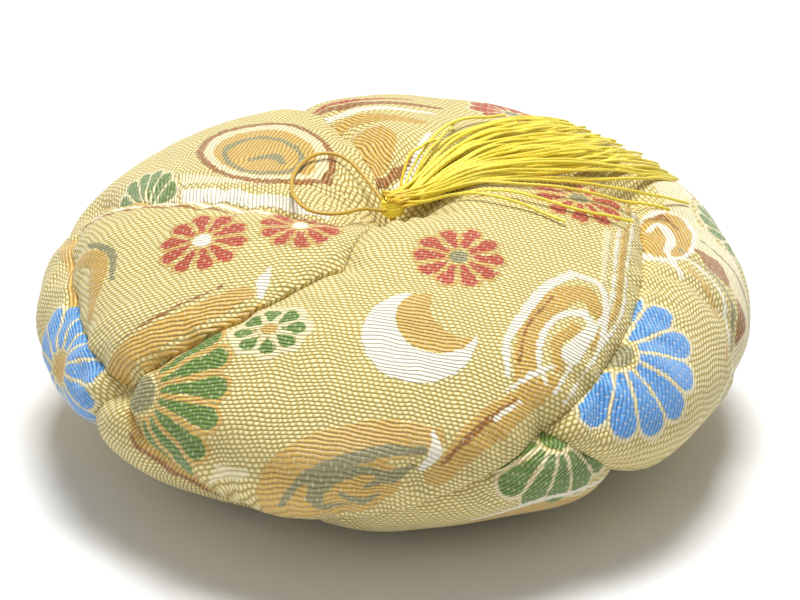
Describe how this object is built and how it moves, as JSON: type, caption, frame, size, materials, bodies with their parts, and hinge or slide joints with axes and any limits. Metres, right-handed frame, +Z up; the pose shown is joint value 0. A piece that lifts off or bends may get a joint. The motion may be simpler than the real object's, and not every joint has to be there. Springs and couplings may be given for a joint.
{
  "type": "pin cushion",
  "caption": "Round stuffed pin cushion of patterned brocade panels, tied into a dimple and topped with a silk thread tassel.",
  "frame": {"origin": "middle of the underside, on the surface that the cushion rests on", "axes": "+Z up through the dimple; -Y towards the front panel; +X towards the tassel's tips"},
  "size_m": [0.088, 0.088, 0.036],
  "materials": {
    "brocade": "woven gold brocade with coloured flower motifs",
    "wadding": "matt cotton fibre",
    "sewing_thread": "twisted thread",
    "tie_thread": "waxed doubled thread",
    "tassel_silk": "bright silk floss"
  },
  "bodies": {
    "root": {"front_panel": "brocade", "left_panel": "brocade", "back_left_panel": "brocade", "right_panel": "brocade", "lower_left_panel": "brocade", "lower_right_panel": "brocade", "stuffing": "wadding", "seam_thread_front_left": "sewing_thread", "seam_thread_back_left": "sewing_thread", "seam_thread_back": "sewing_thread", "seam_thread_back_right": "sewing_thread", "seam_thread_left_side": "sewing_thread", "seam_thread_right_side": "sewing_thread", "seam_thread_lower_left": "sewing_thread", "seam_thread_lower_right": "sewing_thread", "seam_thread_under_left": "sewing_thread", "seam_thread_under_right": "sewing_thread", "seam_thread_under_front": "sewing_thread", "tie_thread": "tie_thread", "base_knot": "tie_thread", "tassel_binding": "tassel_silk", "tassel_skein": "tassel_silk", "loose_thread": "tassel_silk"}
  },
  "joints": []
}
